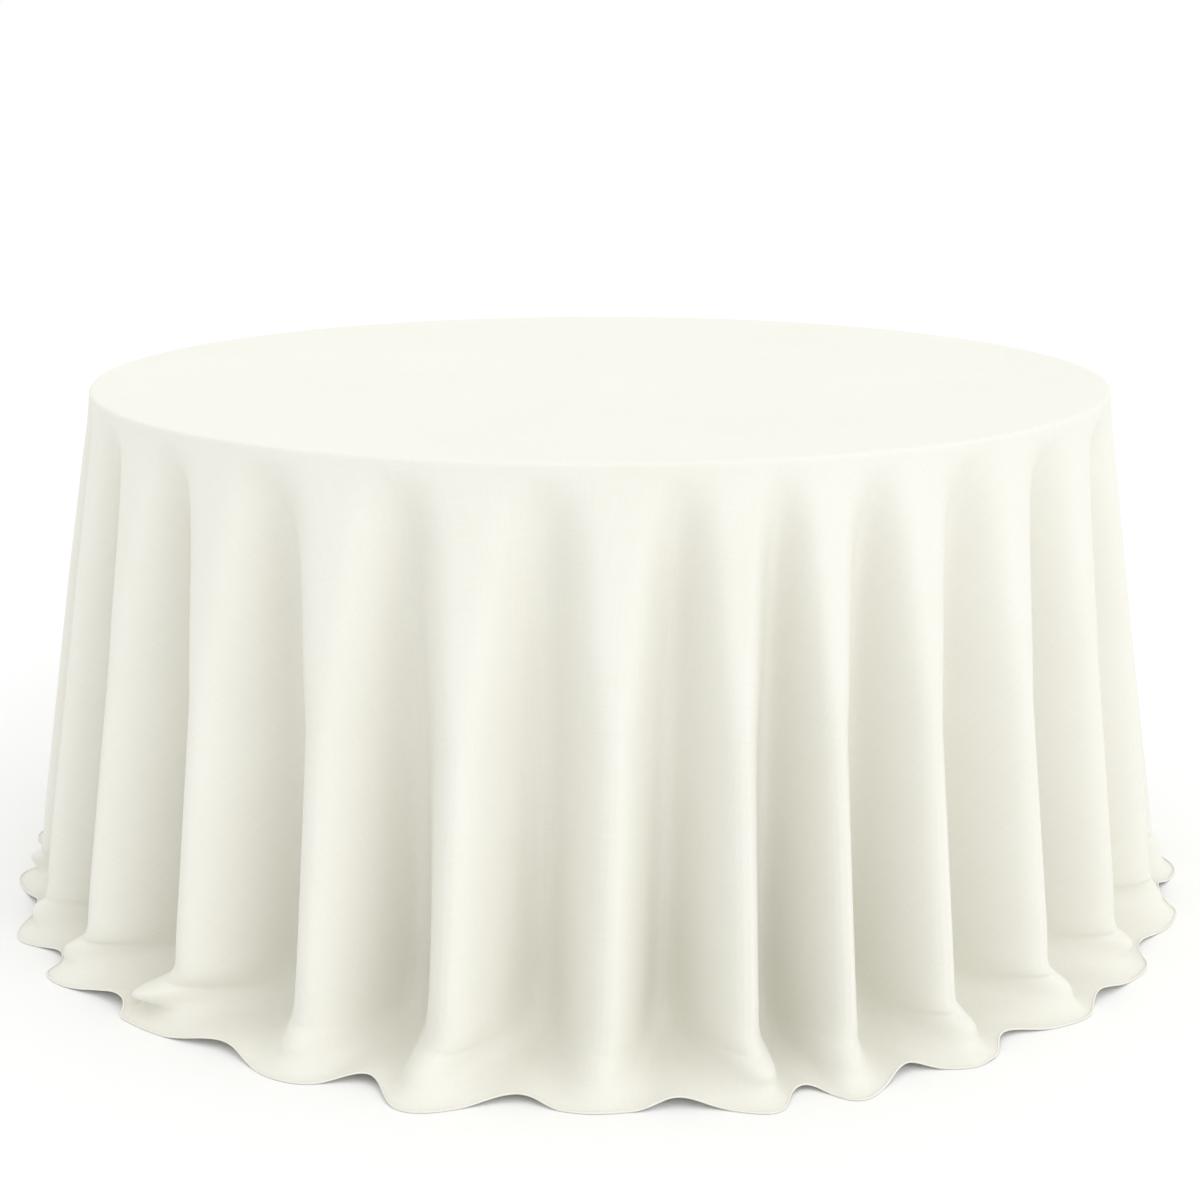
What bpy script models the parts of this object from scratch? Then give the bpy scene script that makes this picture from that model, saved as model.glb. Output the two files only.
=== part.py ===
"""Floor-length round tablecloth on a folding banquet table.

Metres, +Z up. The origin is on the floor, under the middle of the table, and -Y is the front.
The table stands on two H-shaped leg frames that fold inwards under the top. A brace of two flat
links holds each frame open. The cloth is a circle that hangs in folds and turns out on the floor.
"""

import math

import bmesh
import bpy
from mathutils import Matrix

INCH = 0.0254

# Driving dimensions
TABLE_DIAMETER = 60 * INCH
TABLE_HEIGHT = 30 * INCH
FIT_GAP = 0.0003  # between pieces that touch
RUNNING_GAP = 0.0005  # radial clearance of a tube that turns in a saddle

# Tabletop
BOARD_THICKNESS = 0.019
TRIM_THICKNESS = 0.004
TRIM_ROUNDING = 0.003
TOP_SEGMENTS = 64
RUNNER_WIDTH = 0.065
RUNNER_THICKNESS = 0.019
RUNNER_CHAMFER = 0.002
RUNNER_OFFSET = 0.190  # from the middle of the table to the middle of a runner
RUNNER_END_MARGIN = 0.065  # from a runner's corner to the rim, along the runner

# Leg frames. The wide one is at +X, and the narrow one at -X folds in between its legs.
TUBE_DIAMETER = 1.125 * INCH
CROSSBAR_DIAMETER = 0.022
TUBE_WALL = 0.0015
TUBE_SEGMENTS = 16
LEG_INSET = 0.202  # from the rim to the hinge of a frame
WIDE_FRAME_HALF = 0.310  # from the middle of the table to the axis of a leg
NARROW_FRAME_HALF = 0.270
CROSSBAR_DROP = 0.360  # from the hinge down to the crossbar
CAP_HEIGHT = 0.032
CAP_WALL = 0.002
CAP_FLOOR = 0.006
CAP_CHAMFER = 0.001

# Saddles that hold the hinge tubes to the runners
SADDLE_THICKNESS = 0.0025
SADDLE_WIDTH = 0.036
SADDLE_FLANGE = 0.024

# Folding braces
LINK_WIDTH = 0.016
LINK_THICKNESS = 0.003
LINK_CLEARANCE = 0.0005  # from the middle plane to the near face of a link
PLATE_THICKNESS = 0.003
PIVOT_OFFSET = 0.022  # from the axis of the crossbar to the lower pivot, square to the legs
PIVOT_SPREAD = 0.050  # how much further along the leg the upper pivot is than the lower one
LUG_GRIP_DEG = 60  # how far round the crossbar the lug reaches, each way
PIN_RADIUS = 0.003
PIN_HEAD_RADIUS = 0.0055
PIN_HEAD_THICKNESS = 0.002
BRACKET_LENGTH = 0.064
BRACKET_FLANGE = 0.026
BRACKET_SCREW_SPACING = 0.042

# Screws
SCREW_RADIUS = 0.002
SCREW_LENGTH = 0.014
SCREW_POINT = 0.004
SCREW_HEAD_RADIUS = 0.0042
SCREW_HEAD_THICKNESS = 0.0018
SCREW_SEGMENTS = 8
PIN_SEGMENTS = 10
ARC_STEPS = 8

# Tablecloth
CLOTH_THICKNESS = 0.001
CLOTH_GAP = 0.0008  # between the cloth and the tabletop
FRONT_CRESTS_DEG = (-77.5, -64.5, -51.5, -38, -24, -12, 0.5, 12, 20.5, 30.5, 43, 56.5, 72)  # from -Y to +X
BACK_FOLDS = 15
COLUMNS_PER_FOLD = 4
PLAIN_BAND = 0.024  # depth of the band below the rim that has no folds yet
SKIRT_ROW_SHARES = (0.16, 0.42, 0.70)  # of the way from the plain band to the floor turn
FOLD_DEPTH = 0.070  # half of the distance from a crest in to a valley, above the floor turn
FOLD_GROWTH = 0.75  # power of the way down by which the folds deepen
SKIRT_FLARE = 0.047  # how much wider the skirt is above the floor turn than at the rim
TURN_HEIGHT = 0.060  # where the cloth starts to turn out onto the floor
TURN_ROWS = ((0.030, 0.004, 0.071), (0.009, 0.020, 0.066))  # height, widening and fold depth
HEM_HEIGHT = 0.0022  # of the upper face at the hem
HEM_WIDENING = 0.071
HEM_DEPTH = 0.033
HEM_ROLL_RADIUS = 0.0012
HEM_ROLL_GAP = 0.0006
HEM_ROLL_SIDES = 5
HEM_FLOOR_GAP = 0.0004

TABLE_RADIUS = TABLE_DIAMETER / 2
TUBE_RADIUS = TUBE_DIAMETER / 2
CROSSBAR_RADIUS = CROSSBAR_DIAMETER / 2
UNDERSIDE_Z = TABLE_HEIGHT - BOARD_THICKNESS
RUNNER_BOTTOM_Z = UNDERSIDE_Z - FIT_GAP - RUNNER_THICKNESS
HINGE_X = TABLE_RADIUS - LEG_INSET
HINGE_Z = RUNNER_BOTTOM_Z - FIT_GAP - RUNNING_GAP - TUBE_RADIUS
PIN_HOLE_RADIUS = PIN_RADIUS + FIT_GAP
SCREW_HOLE_RADIUS = SCREW_RADIUS + FIT_GAP

# The brace lies on both sides of a middle plane, so its pieces are set out from that plane.
LINK_FAR = LINK_CLEARANCE + LINK_THICKNESS
PLATE_NEAR = LINK_FAR + FIT_GAP
PLATE_FAR = PLATE_NEAR + PLATE_THICKNESS
UPPER_REACH = CROSSBAR_DROP + PIVOT_SPREAD
LOWER_PIVOT = (HINGE_X - PIVOT_OFFSET, HINGE_Z - CROSSBAR_DROP)
UPPER_PIVOT = (HINGE_X - UPPER_REACH, HINGE_Z + PIVOT_OFFSET * UPPER_REACH / CROSSBAR_DROP)

COLOURS = {
    "ivory_polyester": ((0.86, 0.84, 0.76), 0.8, 0.0),
    "plywood": ((0.72, 0.54, 0.34), 0.55, 0.0),
    "pine": ((0.70, 0.53, 0.33), 0.65, 0.0),
    "brown_vinyl": ((0.13, 0.08, 0.05), 0.5, 0.0),
    "grey_powder_coat": ((0.30, 0.31, 0.32), 0.45, 0.3),
    "zinc_plate": ((0.62, 0.62, 0.60), 0.35, 0.9),
    "black_plastic": ((0.02, 0.02, 0.022), 0.6, 0.0),
}


def material(name):
    """The Principled material of that name, made on first use."""
    found = bpy.data.materials.get(name)
    if found:
        return found
    colour, roughness, metallic = COLOURS[name]
    made = bpy.data.materials.new(name)
    made.use_nodes = True
    shader = made.node_tree.nodes["Principled BSDF"]
    shader.inputs["Base Color"].default_value = (*colour, 1)
    shader.inputs["Roughness"].default_value = roughness
    shader.inputs["Metallic"].default_value = metallic
    return made


def place(x, y, z, axis="Z", side=1):
    """A matrix whose Z points along a world axis. The left side is the right one turned half round."""
    turns = {
        "Z": Matrix.Identity(4),
        "Y": Matrix.Rotation(math.radians(-90), 4, "X"),
    }
    there = Matrix.Translation((x, y, z)) @ turns[axis]
    return there if side > 0 else Matrix.Rotation(math.pi, 4, "Z") @ there


def add_piece(name, shape, finish, where=Matrix.Identity(4), sharp_deg=35):
    """Makes a named object of a bmesh, in a finish, at a matrix."""
    mesh = bpy.data.meshes.new(name)
    bmesh.ops.recalc_face_normals(shape, faces=shape.faces)
    shape.to_mesh(mesh)
    shape.free()
    mesh.shade_smooth()
    mesh.set_sharp_from_angle(angle=math.radians(sharp_deg))
    mesh.materials.append(material(finish))
    piece = bpy.data.objects.new(name, mesh)
    piece.matrix_world = where
    bpy.context.scene.collection.objects.link(piece)
    return piece


def combine(piece, shape, where, operation):
    """Joins a shape to a piece, or cuts it out, with a hidden tool object."""
    number = len(piece.modifiers)
    tool = add_piece(f"{piece.name}_tool_{number}", shape, "zinc_plate", where)
    tool.hide_render = True
    tool.display_type = "WIRE"
    step = piece.modifiers.new(f"{operation.lower()}_{number}", "BOOLEAN")
    step.operation = operation
    step.object = tool


def circle(radius, segments):
    """Points of a circle about the origin, as (x, y) pairs."""
    angles = [2 * math.pi * i / segments for i in range(segments)]
    return [(radius * math.cos(a), radius * math.sin(a)) for a in angles]


def arc(centre, radius, start_deg, end_deg, steps=ARC_STEPS):
    """Points along an arc, with both of its ends."""
    angles = [math.radians(start_deg + (end_deg - start_deg) * i / steps) for i in range(steps + 1)]
    return [(centre[0] + radius * math.cos(a), centre[1] + radius * math.sin(a)) for a in angles]


def bridge(shape, first, second):
    """Quads between two closed loops with the same number of points."""
    for i in range(len(first)):
        j = (i + 1) % len(first)
        shape.faces.new((first[i], first[j], second[j], second[i]))


def turned(profile, segments, closed=False):
    """A shape turned about Z from (radius, z) points: a ring where closed, and a capped solid if not."""
    shape = bmesh.new()
    loops = []
    for radius, z in profile:
        loops.append([shape.verts.new((x, y, z)) for x, y in circle(radius, segments)])
    for lower, upper in zip(loops, loops[1:]):
        bridge(shape, lower, upper)
    if closed:
        bridge(shape, loops[-1], loops[0])
    else:
        shape.faces.new(loops[0])
        shape.faces.new(loops[-1])
    return shape


def rod(radius, length, segments):
    """A cylinder from Z = 0 to its length."""
    return turned([(radius, 0), (radius, length)], segments)


def tube(radius, wall, length):
    """An open tube from Z = 0 to its length."""
    bore = radius - wall
    return turned([(radius, 0), (radius, length), (bore, length), (bore, 0)], TUBE_SEGMENTS, closed=True)


def plate(outline, thickness):
    """A flat plate with an outline of (x, z) points, from y = 0 to its thickness."""
    shape = bmesh.new()
    near = [shape.verts.new((x, 0, z)) for x, z in outline]
    far = [shape.verts.new((x, thickness, z)) for x, z in outline]
    shape.faces.new(near)
    shape.faces.new(far)
    bridge(shape, near, far)
    return shape


def block(size, chamfer=0.0):
    """A box about the origin, with its edges broken where a chamfer is given."""
    shape = bmesh.new()
    bmesh.ops.create_cube(shape, size=1)
    bmesh.ops.scale(shape, vec=size, verts=shape.verts)
    if chamfer:
        bmesh.ops.bevel(shape, geom=shape.edges[:], offset=chamfer, segments=1, affect="EDGES")
    return shape


# Screws, driven upwards until the head bears on a face


def build_screw(name, x, y, bearing_z, side):
    """A pan-head wood screw whose head lies under a face."""
    profile = [
        (SCREW_HEAD_RADIUS * 0.7, -FIT_GAP - SCREW_HEAD_THICKNESS),
        (SCREW_HEAD_RADIUS, -FIT_GAP - SCREW_HEAD_THICKNESS * 0.5),
        (SCREW_HEAD_RADIUS, -FIT_GAP),
        (SCREW_RADIUS, -FIT_GAP),
        (SCREW_RADIUS, SCREW_LENGTH - SCREW_POINT),
        (SCREW_RADIUS * 0.2, SCREW_LENGTH),
    ]
    where = place(x, y, bearing_z, side=side)
    add_piece(name, turned(profile, SCREW_SEGMENTS), "zinc_plate", where)


def cut_screw_hole(piece, x, y, bearing_z, side):
    """Cuts the hole for a screw, from just under its bearing face to just past its point."""
    depth = SCREW_LENGTH + 2 * RUNNING_GAP
    where = place(x, y, bearing_z - RUNNING_GAP, side=side)
    combine(piece, rod(SCREW_HOLE_RADIUS, depth, SCREW_SEGMENTS), where, "DIFFERENCE")


def saddle_screw_reach():
    """How far from a hinge tube's axis the screws of its saddle are."""
    return TUBE_RADIUS + RUNNING_GAP + SADDLE_THICKNESS + SADDLE_FLANGE / 2


def saddle_bearing_z():
    """Where the screw heads of a saddle bear."""
    return RUNNER_BOTTOM_Z - FIT_GAP - SADDLE_THICKNESS


def bracket_bearing_z():
    """Where the screw heads of a brace bracket bear."""
    return UNDERSIDE_Z - FIT_GAP - PLATE_THICKNESS


def bracket_screws():
    """Where the screws of the right brace bracket go, as (ending of the name, x, y)."""
    y = PLATE_FAR + BRACKET_FLANGE / 2
    half = BRACKET_SCREW_SPACING / 2
    return [("outer", UPPER_PIVOT[0] + half, y), ("inner", UPPER_PIVOT[0] - half, y)]


# The tabletop


def build_board():
    """The plywood disc, with pilot holes for the brace brackets."""
    radius = TABLE_RADIUS - TRIM_THICKNESS - FIT_GAP
    board = add_piece(
        "plywood_top",
        rod(radius, BOARD_THICKNESS, TOP_SEGMENTS),
        "plywood",
        place(0, 0, UNDERSIDE_Z),
    )
    for side in (1, -1):
        for _, x, y in bracket_screws():
            cut_screw_hole(board, x, y, bracket_bearing_z(), side)


def build_edge_trim():
    """The vinyl band round the board, rounded at both of its outer corners."""
    inner = TABLE_RADIUS - TRIM_THICKNESS
    middle = TABLE_RADIUS - TRIM_ROUNDING
    profile = [(inner, UNDERSIDE_Z)]
    profile += arc((middle, UNDERSIDE_Z + TRIM_ROUNDING), TRIM_ROUNDING, -90, 0, 2)
    profile += arc((middle, TABLE_HEIGHT - TRIM_ROUNDING), TRIM_ROUNDING, 0, 90, 2)
    profile += [(inner, TABLE_HEIGHT)]
    add_piece("edge_trim", turned(profile, TOP_SEGMENTS, closed=True), "brown_vinyl")


def build_runners():
    """Two battens under the board, which the leg saddles are screwed to."""
    corner_y = RUNNER_OFFSET + RUNNER_WIDTH / 2
    length = 2 * (math.sqrt(TABLE_RADIUS**2 - corner_y**2) - RUNNER_END_MARGIN)
    for name, way in (("rear_runner", 1), ("front_runner", -1)):
        runner = add_piece(
            name,
            block((length, RUNNER_WIDTH, RUNNER_THICKNESS), RUNNER_CHAMFER),
            "pine",
            place(0, way * RUNNER_OFFSET, RUNNER_BOTTOM_Z + RUNNER_THICKNESS / 2),
        )
        for side in (1, -1):
            for across in (1, -1):
                x = HINGE_X + across * saddle_screw_reach()
                cut_screw_hole(runner, x, side * way * RUNNER_OFFSET, saddle_bearing_z(), side)


# The leg frames


def build_saddle(name, y, side):
    """The steel strap that holds a hinge tube to a runner, with its two screws."""
    inner = TUBE_RADIUS + RUNNING_GAP
    outer = inner + SADDLE_THICKNESS
    top = RUNNER_BOTTOM_Z - FIT_GAP - HINGE_Z
    low = top - SADDLE_THICKNESS
    reach = outer + SADDLE_FLANGE
    outline = [(-reach, top), (-inner, top)]
    outline += arc((0, 0), inner, 180, 360)
    outline += [(inner, top), (reach, top), (reach, low), (outer, low)]
    outline += arc((0, 0), outer, 360, 180)
    outline += [(-outer, low), (-reach, low)]
    where = place(HINGE_X, y - SADDLE_WIDTH / 2, HINGE_Z, side=side)
    saddle = add_piece(f"{name}_saddle", plate(outline, SADDLE_WIDTH), "zinc_plate", where)
    for ending, across in (("outer", 1), ("inner", -1)):
        x = HINGE_X + across * saddle_screw_reach()
        cut_screw_hole(saddle, x, y, saddle_bearing_z(), side)
        build_screw(f"{name}_saddle_screw_{ending}", x, y, saddle_bearing_z(), side)


def build_foot_cap(name, y, side):
    """The plastic cup that a leg stands in."""
    inner = TUBE_RADIUS + FIT_GAP
    outer = inner + CAP_WALL
    profile = [
        (outer - CAP_CHAMFER, 0),
        (outer, CAP_CHAMFER),
        (outer, CAP_HEIGHT - CAP_CHAMFER),
        (outer - CAP_CHAMFER, CAP_HEIGHT),
        (inner, CAP_HEIGHT),
        (inner, CAP_FLOOR),
    ]
    where = place(HINGE_X, y, 0, side=side)
    add_piece(name, turned(profile, TUBE_SEGMENTS), "black_plastic", where)


def build_leg(name, y, side):
    """One leg tube, from its foot cap up to the top of the hinge tube."""
    foot = CAP_FLOOR + FIT_GAP
    length = HINGE_Z + TUBE_RADIUS - foot
    where = place(HINGE_X, y, foot, side=side)
    add_piece(name, tube(TUBE_RADIUS, TUBE_WALL, length), "grey_powder_coat", where)


def build_cross_tube(name, radius, z, half_length, side):
    """A tube that lies across a frame, between its legs."""
    where = place(HINGE_X, -half_length, z, "Y", side)
    add_piece(name, tube(radius, TUBE_WALL, 2 * half_length), "grey_powder_coat", where)


def build_leg_frame(name, side, frame_half):
    """Two legs and their caps, and the hinge tube and the crossbar between them."""
    for way in (1, -1):
        row = "rear" if way * side > 0 else "front"
        build_leg(f"{name}_{row}_leg", way * frame_half, side)
        build_foot_cap(f"{name}_{row}_foot_cap", way * frame_half, side)
        build_saddle(f"{name}_{row}", way * RUNNER_OFFSET, side)
    half_length = frame_half - TUBE_RADIUS - FIT_GAP
    build_cross_tube(f"{name}_hinge_tube", TUBE_RADIUS, HINGE_Z, half_length, side)
    build_cross_tube(f"{name}_crossbar", CROSSBAR_RADIUS, HINGE_Z - CROSSBAR_DROP, half_length, side)


# The folding braces. On the right side the lower pieces are at -Y of the middle plane, and the
# upper pieces at +Y. With the leg down the links are in line, and with it folded they lie flat.


def knee():
    """The pivot between the links, which are as long as the two ends of the fold ask for."""
    to_lower = math.hypot(PIVOT_OFFSET, CROSSBAR_DROP)
    to_upper = math.dist(UPPER_PIVOT, (HINGE_X, HINGE_Z))
    both_links = math.dist(LOWER_PIVOT, UPPER_PIVOT)
    share = (both_links + to_upper - to_lower) / 2 / both_links
    return tuple(high + share * (low - high) for high, low in zip(UPPER_PIVOT, LOWER_PIVOT))


def cut_pin_hole(piece, pivot, side):
    """Cuts the hole for a pin right through a link, lug or bracket."""
    depth = 2 * (PLATE_FAR + PLATE_THICKNESS)
    where = place(pivot[0], -depth / 2, pivot[1], "Y", side)
    combine(piece, rod(PIN_HOLE_RADIUS, depth, PIN_SEGMENTS), where, "DIFFERENCE")


def build_link(name, start, end, near_y, side):
    """A flat bar with round ends between two pivots, from near_y away from the front."""
    angle = math.degrees(math.atan2(end[1] - start[1], end[0] - start[0]))
    outline = arc(start, LINK_WIDTH / 2, angle + 90, angle + 270)
    outline += arc(end, LINK_WIDTH / 2, angle - 90, angle + 90)
    where = place(0, near_y, 0, side=side)
    link = add_piece(name, plate(outline, LINK_THICKNESS), "zinc_plate", where)
    cut_pin_hole(link, start, side)
    cut_pin_hole(link, end, side)


def build_pin(name, pivot, tip_y, head_y, side):
    """A pin along Y from its tip to the underside of its head, which is a dome."""
    length = abs(head_y - tip_y)
    profile = [
        (PIN_RADIUS, 0),
        (PIN_RADIUS, length),
        (PIN_HEAD_RADIUS, length),
        (PIN_HEAD_RADIUS, length + PIN_HEAD_THICKNESS * 0.5),
        (PIN_HEAD_RADIUS * 0.6, length + PIN_HEAD_THICKNESS),
    ]
    where = place(pivot[0], tip_y, pivot[1], "Y", side)
    if head_y < tip_y:
        where = where @ Matrix.Rotation(math.pi, 4, "X")
    add_piece(name, turned(profile, PIN_SEGMENTS), "zinc_plate", where)


def build_lug(name, side):
    """The plate welded to the crossbar that holds the lower pivot."""
    crossbar = (HINGE_X, HINGE_Z - CROSSBAR_DROP)
    seat = CROSSBAR_RADIUS + FIT_GAP
    outline = arc(crossbar, seat, 180 + LUG_GRIP_DEG, 180 - LUG_GRIP_DEG)
    outline += arc(LOWER_PIVOT, LINK_WIDTH / 2, 90, 270)
    where = place(0, -PLATE_FAR, 0, side=side)
    lug = add_piece(name, plate(outline, PLATE_THICKNESS), "grey_powder_coat", where)
    cut_pin_hole(lug, LOWER_PIVOT, side)


def build_bracket(name, side):
    """The angle bracket under the board that holds the upper pivot, with its two screws."""
    x, z = UPPER_PIVOT
    top = UNDERSIDE_Z - FIT_GAP
    half = BRACKET_LENGTH / 2
    web = [(x - half, top), (x - half, bracket_bearing_z())]
    web += arc(UPPER_PIVOT, LINK_WIDTH / 2, 180, 360)
    web += [(x + half, bracket_bearing_z()), (x + half, top)]
    where = place(0, PLATE_NEAR, 0, side=side)
    bracket = add_piece(name, plate(web, PLATE_THICKNESS), "zinc_plate", where)
    root = PLATE_NEAR + PLATE_THICKNESS / 2
    depth = PLATE_FAR + BRACKET_FLANGE - root
    flange = place(x, root + depth / 2, top - PLATE_THICKNESS / 2, side=side)
    combine(bracket, block((BRACKET_LENGTH, depth, PLATE_THICKNESS)), flange, "UNION")
    cut_pin_hole(bracket, UPPER_PIVOT, side)
    for ending, screw_x, screw_y in bracket_screws():
        cut_screw_hole(bracket, screw_x, screw_y, bracket_bearing_z(), side)
        build_screw(f"{name}_screw_{ending}", screw_x, screw_y, bracket_bearing_z(), side)


def build_brace(name, side):
    """Both links, the lug, the bracket and the pins. The knee rivet is fixed to the lower link."""
    build_link(f"{name}_lower_link", LOWER_PIVOT, knee(), -LINK_FAR, side)
    build_link(f"{name}_upper_link", UPPER_PIVOT, knee(), LINK_CLEARANCE, side)
    build_lug(f"{name}_lug", side)
    build_bracket(f"{name}_bracket", side)
    build_pin(f"{name}_lower_pin", LOWER_PIVOT, -LINK_CLEARANCE, -PLATE_FAR - FIT_GAP, side)
    build_pin(f"{name}_knee_rivet", knee(), -LINK_CLEARANCE, -LINK_FAR - FIT_GAP, side)
    build_pin(f"{name}_upper_pin", UPPER_PIVOT, LINK_CLEARANCE, PLATE_FAR + FIT_GAP, side)


# The tablecloth. Its outer face is set out in columns, which share the folds out round the
# table, and rows, which go from the rim down to the hem.


def fold_columns():
    """Direction of each column, and its fold wave: 1 on a crest and -1 in a valley."""
    first, last = FRONT_CRESTS_DEG[0], FRONT_CRESTS_DEG[-1]
    back_gap = (360 + first - last) / (BACK_FOLDS + 1)
    crests = list(FRONT_CRESTS_DEG) + [last + back_gap * (i + 1) for i in range(BACK_FOLDS)]
    columns = []
    for crest, following in zip(crests, crests[1:] + [first + 360]):
        for step in range(COLUMNS_PER_FOLD):
            share = step / COLUMNS_PER_FOLD
            angle = math.radians(crest + share * (following - crest))
            columns.append((math.sin(angle), -math.cos(angle), math.cos(2 * math.pi * share)))
    return columns


def cloth_rows():
    """Height, mean radius and fold depth of each row of the outer face."""
    cover = CLOTH_GAP + CLOTH_THICKNESS
    rim, top = TABLE_RADIUS + cover, TABLE_HEIGHT + cover
    rounding = TRIM_ROUNDING + cover
    corner = arc((rim - rounding, top - rounding), rounding, 90, 0, 2)
    rows = [(z, radius, 0) for radius, z in corner]
    band_z = top - PLAIN_BAND
    rows.append((band_z, rim, 0))
    for share in (*SKIRT_ROW_SHARES, 1):
        z = band_z + share * (TURN_HEIGHT - band_z)
        rows.append((z, rim + SKIRT_FLARE * share, FOLD_DEPTH * share**FOLD_GROWTH))
    foot = rim + SKIRT_FLARE
    rows += [(z, foot + widening, depth) for z, widening, depth in TURN_ROWS]
    rows.append((HEM_HEIGHT, foot + HEM_WIDENING, HEM_DEPTH))
    return rows


def row_points(row):
    """The points of one row, column by column."""
    z, mean, depth = row
    return [(dx * (mean + depth * wave), dy * (mean + depth * wave), z) for dx, dy, wave in fold_columns()]


def build_tablecloth():
    """The cloth: a flat round top, and a skirt whose folds deepen down to the floor."""
    shape = bmesh.new()
    loops = [[shape.verts.new(point) for point in row_points(row)] for row in cloth_rows()]
    shape.faces.new(loops[0])
    for upper, lower in zip(loops, loops[1:]):
        bridge(shape, lower, upper)
    bmesh.ops.triangulate(shape, faces=[face for face in shape.faces if len(face.verts) == 4])
    cloth = add_piece("tablecloth", shape, "ivory_polyester", sharp_deg=180)
    shell = cloth.modifiers.new("thickness", "SOLIDIFY")
    shell.thickness = CLOTH_THICKNESS
    shell.offset = -1


def build_rolled_hem():
    """The narrow roll that the cloth's edge is turned over into, just outside the last row."""
    hem = row_points(cloth_rows()[-1])
    shape = bmesh.new()
    loops = []
    for i, (x, y, _) in enumerate(hem):
        before, after = hem[i - 1], hem[(i + 1) % len(hem)]
        along_x, along_y = after[0] - before[0], after[1] - before[1]
        length = math.hypot(along_x, along_y)
        out_x, out_y = along_y / length, -along_x / length
        loop = []
        for across, up in circle(HEM_ROLL_RADIUS, HEM_ROLL_SIDES):
            out = HEM_ROLL_GAP + HEM_ROLL_RADIUS + across
            z = HEM_FLOOR_GAP + HEM_ROLL_RADIUS + up
            loop.append(shape.verts.new((x + out * out_x, y + out * out_y, z)))
        loops.append(loop)
    for loop, following in zip(loops, loops[1:] + loops[:1]):
        bridge(shape, loop, following)
    add_piece("rolled_hem", shape, "ivory_polyester", sharp_deg=180)


def main():
    for old in list(bpy.data.objects):
        bpy.data.objects.remove(old)
    build_board()
    build_edge_trim()
    build_runners()
    for name, side, frame_half in (("right", 1, WIDE_FRAME_HALF), ("left", -1, NARROW_FRAME_HALF)):
        build_leg_frame(name, side, frame_half)
        build_brace(f"{name}_brace", side)
    build_tablecloth()
    build_rolled_hem()


main()
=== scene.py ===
"""A floor-length ivory tablecloth on a folding banquet table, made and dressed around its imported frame.

Lengths are in metres and +Z is up. The front of the table is at -Y. The cloth is cut as a flat circle,
hung over the table as a net of threads, and let fall until it rests. The other pieces keep their shapes.
"""
import functools
import logging
import math
from dataclasses import dataclass, field
from enum import Enum
from typing import Iterable, Sequence

import bpy
import numpy as np
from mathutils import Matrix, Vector


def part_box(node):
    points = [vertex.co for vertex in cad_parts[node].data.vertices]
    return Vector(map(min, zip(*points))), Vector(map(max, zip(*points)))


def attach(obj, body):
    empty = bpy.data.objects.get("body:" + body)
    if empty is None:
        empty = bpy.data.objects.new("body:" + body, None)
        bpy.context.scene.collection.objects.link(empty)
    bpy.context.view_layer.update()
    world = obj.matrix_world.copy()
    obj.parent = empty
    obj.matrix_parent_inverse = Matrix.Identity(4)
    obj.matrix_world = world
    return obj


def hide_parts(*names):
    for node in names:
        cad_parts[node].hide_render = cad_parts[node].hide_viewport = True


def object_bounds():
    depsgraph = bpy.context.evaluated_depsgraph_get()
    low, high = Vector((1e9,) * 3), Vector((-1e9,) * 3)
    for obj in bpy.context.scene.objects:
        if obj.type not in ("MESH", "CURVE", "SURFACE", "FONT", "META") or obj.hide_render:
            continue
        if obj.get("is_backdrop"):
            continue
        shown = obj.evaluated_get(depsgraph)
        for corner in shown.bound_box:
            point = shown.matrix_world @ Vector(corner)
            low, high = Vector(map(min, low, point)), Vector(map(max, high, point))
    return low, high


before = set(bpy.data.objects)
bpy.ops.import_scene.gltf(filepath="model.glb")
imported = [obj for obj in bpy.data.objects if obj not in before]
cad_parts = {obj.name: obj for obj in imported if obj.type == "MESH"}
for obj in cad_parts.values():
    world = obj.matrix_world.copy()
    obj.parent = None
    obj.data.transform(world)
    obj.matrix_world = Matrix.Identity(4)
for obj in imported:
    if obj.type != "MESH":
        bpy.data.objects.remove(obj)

log = logging.getLogger("tablecloth")

Colour = tuple[float, float, float]
Points = np.ndarray
Socket = bpy.types.NodeSocket

TINY = 1e-12

# Places of a Mix node's sockets when it mixes colours.
MIX_FACTOR, MIX_FIRST, MIX_SECOND, MIX_RESULT = 0, 6, 7, 2


# ---------------------------------------------------------------- finishes


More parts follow.
